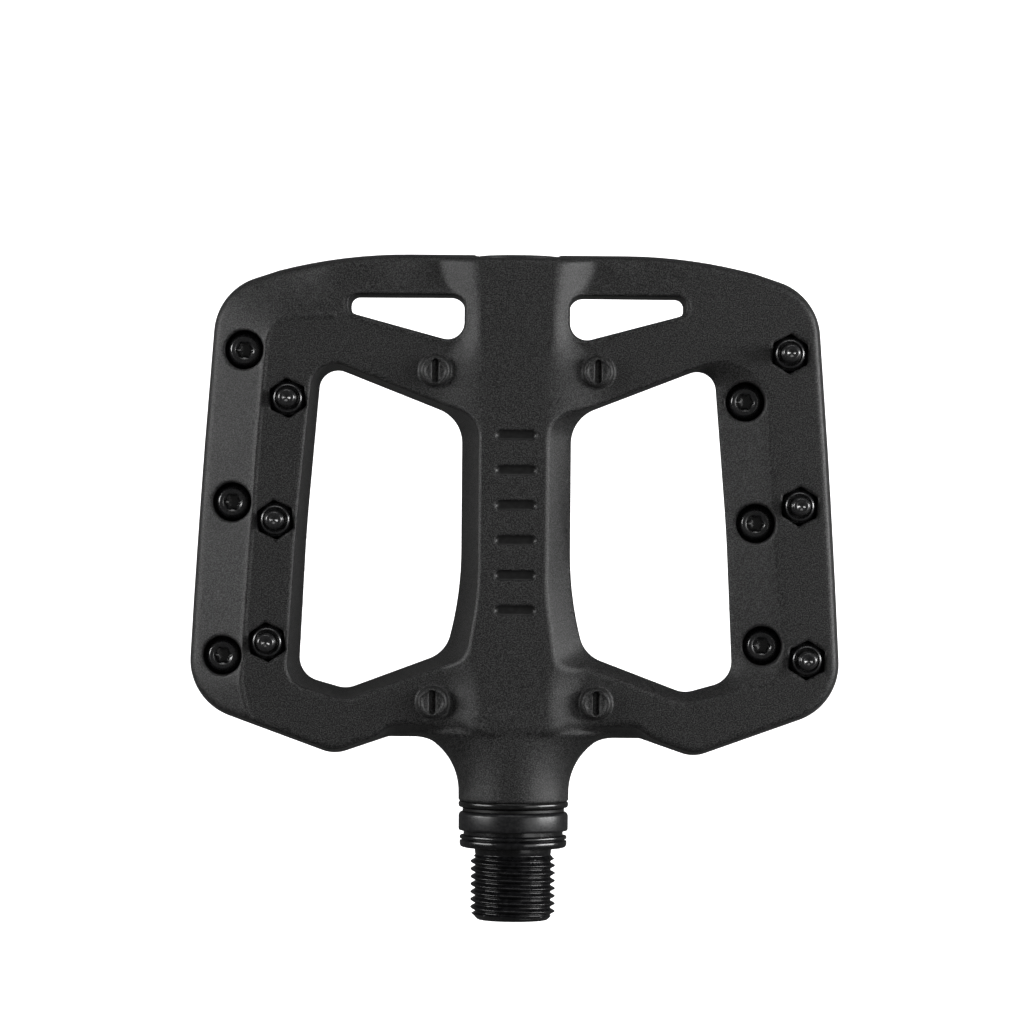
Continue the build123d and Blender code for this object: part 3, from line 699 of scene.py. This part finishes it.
def grain(material, size_mm, depth_mm, strength, dark, light, rough_low, rough_high, detail=3.0):
    """Adds a fine surface grain, with the colour and roughness varying a little with it."""
    tree = material.node_tree
    nodes, links = tree.nodes, tree.links
    shader = nodes["Principled BSDF"]
    place = nodes.new("ShaderNodeTexCoord")
    fine = nodes.new("ShaderNodeTexNoise")
    fine.inputs["Scale"].default_value = 1 / (size_mm * MM)
    fine.inputs["Detail"].default_value = detail
    fine.inputs["Roughness"].default_value = 0.6
    links.new(place.outputs["Object"], fine.inputs["Vector"])
    bump = nodes.new("ShaderNodeBump")
    bump.inputs["Strength"].default_value = strength
    bump.inputs["Distance"].default_value = depth_mm * MM
    links.new(fine.outputs["Fac"], bump.inputs["Height"])
    links.new(bump.outputs["Normal"], shader.inputs["Normal"])
    wide = nodes.new("ShaderNodeTexNoise")
    wide.inputs["Scale"].default_value = 1 / (size_mm * 1.5 * MM)
    wide.inputs["Detail"].default_value = 4.0
    links.new(place.outputs["Object"], wide.inputs["Vector"])
    ramp = nodes.new("ShaderNodeValToRGB")
    ramp.color_ramp.elements[0].position = 0.42
    ramp.color_ramp.elements[1].position = 0.63
    ramp.color_ramp.elements[0].color = (*dark, 1)
    ramp.color_ramp.elements[1].color = (*light, 1)
    links.new(wide.outputs["Fac"], ramp.inputs["Fac"])
    links.new(ramp.outputs["Color"], shader.inputs["Base Color"])
    spread = nodes.new("ShaderNodeMapRange")
    spread.inputs["From Min"].default_value = 0.3
    spread.inputs["From Max"].default_value = 0.7
    spread.inputs["To Min"].default_value = rough_low
    spread.inputs["To Max"].default_value = rough_high
    links.new(fine.outputs["Fac"], spread.inputs["Value"])
    links.new(spread.outputs["Result"], shader.inputs["Roughness"])
    return material


# Each slot's material, colour, roughness and other shader values, then the grain's size and depth in millimetres and
# its strength, its darkest and lightest colours, and its lowest and highest roughness
FINISHES = {
    "composite": (
        ("composite_grained", (0.03,) * 3, 0.5), {"specular": 0.45},
        (0.13, 0.07, 0.85, (0.0,) * 3, (0.066,) * 3, 0.3, 0.54),
    ),
    # the pressed bars' plastic is smoother, and its darker colour is painted shade of their shallow recess
    "pressed": (
        ("composite_smooth_painted_shade", (0.012,) * 3, 0.36), {},
        (0.4, 0.01, 0.3, (0.009,) * 3, (0.015,) * 3, 0.3, 0.42),
    ),
    "axle_steel": (
        ("axle_black", (0.008, 0.008, 0.0085), 0.2), {"specular": 0.6},
        (0.5, 0.004, 0.3, (0.004, 0.004, 0.0045), (0.011, 0.011, 0.012), 0.18, 0.28),
    ),
    "seal_rubber": (
        ("seal_dull", (0.012,) * 3, 0.34), {},
        (0.3, 0.01, 0.3, (0.008, 0.008, 0.009), (0.02, 0.02, 0.021), 0.26, 0.42),
    ),
    "bushing_plastic": (
        ("bushing_gloss", (0.01,) * 3, 0.2), {"specular": 0.55},
        (0.4, 0.004, 0.3, (0.006,) * 3, (0.014,) * 3, 0.14, 0.28),
    ),
    "washer_plastic": (
        ("washer_black", (0.01,) * 3, 0.35), {},
        (0.3, 0.005, 0.3, (0.006,) * 3, (0.012,) * 3, 0.3, 0.45),
    ),
    "pin_steel": (
        ("pin_black", (0.01, 0.01, 0.011), 0.2), {"specular": 1.0, "coat": 0.5, "coat_roughness": 0.14},
        (0.25, 0.006, 0.35, (0.007, 0.007, 0.008), (0.018, 0.018, 0.019), 0.16, 0.34),
    ),
    "nut_steel": (
        ("nut_black", (0.012, 0.012, 0.013), 0.22), {"specular": 1.0, "coat": 0.5, "coat_roughness": 0.14},
        (0.25, 0.006, 0.35, (0.008, 0.008, 0.009), (0.02, 0.02, 0.021), 0.18, 0.36),
    ),
    "bearing_steel": (
        ("bearing_ground", (0.6, 0.6, 0.62), 0.22), {"metallic": 1.0},
        (0.3, 0.003, 0.3, (0.5, 0.5, 0.52), (0.66, 0.66, 0.68), 0.18, 0.3),
    ),
    "ball_steel": (
        ("ball_polished", (0.75, 0.75, 0.77), 0.08), {"metallic": 1.0},
        (0.5, 0.001, 0.2, (0.7, 0.7, 0.72), (0.78, 0.78, 0.8), 0.05, 0.12),
    ),
    "cage_plastic": (
        ("cage_nylon", (0.4, 0.33, 0.2), 0.5), {},
        (0.3, 0.01, 0.3, (0.34, 0.28, 0.17), (0.44, 0.37, 0.23), 0.42, 0.6),
    ),
    "shield_rubber": (
        ("shield_black", (0.015,) * 3, 0.5), {},
        (0.25, 0.01, 0.3, (0.01,) * 3, (0.02,) * 3, 0.42, 0.6),
    ),
    "zinc_steel": (
        ("zinc_plated", (0.55, 0.56, 0.58), 0.32), {"metallic": 1.0},
        (0.4, 0.004, 0.3, (0.46, 0.47, 0.5), (0.62, 0.63, 0.64), 0.25, 0.42),
    ),
    "nylon": (
        ("insert_nylon", (0.7, 0.71, 0.73), 0.45), {},
        (0.3, 0.008, 0.3, (0.64, 0.65, 0.67), (0.76, 0.77, 0.78), 0.4, 0.55),
    ),
    "cap_plastic": (
        ("cap_moulded", (0.02, 0.02, 0.021), 0.45), {},
        (0.25, 0.03, 0.45, (0.012, 0.012, 0.013), (0.032, 0.032, 0.033), 0.36, 0.55),
    ),
}


def make_materials():
    """A procedural material for each finish, by its slot's name; the pressed bars have a smoother plastic, darkened as
    painted shade of their recess.
    """
    return {slot: grain(new_material(*base, **values), *grained) for slot, (base, values, grained) in FINISHES.items()}


def dress_cad_nodes(materials):
    """The CAD nodes that stay get the material of their slot."""
    slots = {row["node"]: row["material_slot"] for row in frame["record"]["subparts"]}
    for name, obj in frame["nodes"].items():
        obj.data.materials.clear()
        obj.data.materials.append(materials[slots[name]])


# ---------------------------------------------------------------- stage, light and camera
CAMERA_MIDDLE = (-0.62, 56.0)  # the point below the camera
CAMERA_HEIGHT = 800.0
PIXELS_PER_MM = 5.98  # at the axle's height, in a picture 1024 pixels wide
CAMERA_ROLL = 0.47
FLOOR_Z = -90.0


def emitter(name, size, place, target, power, colour=(1, 1, 1)):
    """A soft rectangular lamp aimed at a point; sizes and places are in millimetres."""
    lamp = bpy.data.lights.new(name, "AREA")
    lamp.shape = "RECTANGLE"
    lamp.size, lamp.size_y = size[0] * MM, size[1] * MM
    lamp.energy = power
    lamp.color = colour
    obj = bpy.data.objects.new(name, lamp)
    bpy.context.scene.collection.objects.link(obj)
    obj.location = Vector(place) * MM
    aim = (Vector(target) - Vector(place)).normalized()
    obj.rotation_euler = aim.to_track_quat("-Z", "Y").to_euler()


def make_stage():
    """A pale floor that lights nothing, a faint world that is white to the camera, and four soft lamps."""
    floor = mesh_object("floor", [(-2000, -2000, FLOOR_Z), (2000, -2000, FLOOR_Z), (2000, 2000, FLOOR_Z),
                                  (-2000, 2000, FLOOR_Z)], [(0, 1, 2, 3)], smooth=False)
    pale = new_material("floor_pale", (0.95, 0.95, 0.95), 0.9, specular=0.0)
    shader = pale.node_tree.nodes["Principled BSDF"]
    shader.inputs["Emission Color"].default_value = (1, 1, 1, 1)
    shader.inputs["Emission Strength"].default_value = 1.0
    floor.data.materials.append(pale)
    floor.visible_diffuse = False  # the pedal's dark edges don't mirror it
    floor.visible_glossy = False
    world = bpy.data.worlds.new("studio")
    bpy.context.scene.world = world
    world.use_nodes = True
    world.node_tree.nodes["Background"].inputs["Color"].default_value = (1, 1, 1, 1)
    nodes, links = world.node_tree.nodes, world.node_tree.links
    faint = nodes["Background"]
    faint.inputs["Strength"].default_value = 0.08
    backdrop = nodes.new("ShaderNodeBackground")
    backdrop.inputs["Color"].default_value = (1, 1, 1, 1)
    seen = nodes.new("ShaderNodeLightPath")
    mix = nodes.new("ShaderNodeMixShader")
    links.new(seen.outputs["Is Camera Ray"], mix.inputs["Fac"])
    links.new(faint.outputs["Background"], mix.inputs[1])
    links.new(backdrop.outputs["Background"], mix.inputs[2])
    links.new(mix.outputs["Shader"], nodes["World Output"].inputs["Surface"])
    target = (0, 56, 0)
    emitter("left_box", (180, 440), (-520, 160, 190), target, 2.1)
    emitter("right_box", (160, 440), (550, 110, 130), target, 3.3)
    emitter("top_box", (400, 400), (520, 60, 640), target, 0.9)
    emitter("far_box", (700, 200), (0, 760, 330), target, 0.8)


def make_camera():
    """The camera, straight above the pedal."""
    camera = bpy.data.cameras.new("camera")
    camera.sensor_width = 36
    camera.lens = PIXELS_PER_MM * CAMERA_HEIGHT / 1024 * camera.sensor_width
    camera.clip_start, camera.clip_end = 0.05, 20
    obj = bpy.data.objects.new("camera", camera)
    bpy.context.scene.collection.objects.link(obj)
    obj.location = Vector((*CAMERA_MIDDLE, CAMERA_HEIGHT)) * MM
    obj.rotation_euler = (0, 0, radians(CAMERA_ROLL))
    bpy.context.scene.camera = obj


bpy.context.scene.view_settings.view_transform = "Standard"
finishes = make_materials()
dress_cad_nodes(finishes)
make_platform(finishes["composite"], finishes["pressed"])
make_axle(finishes["axle_steel"])
make_rings(finishes["seal_rubber"], finishes["washer_plastic"], finishes["bushing_plastic"])
make_cap(finishes["cap_plastic"])
make_pins(finishes["pin_steel"], finishes["nut_steel"])
make_stage()
make_camera()
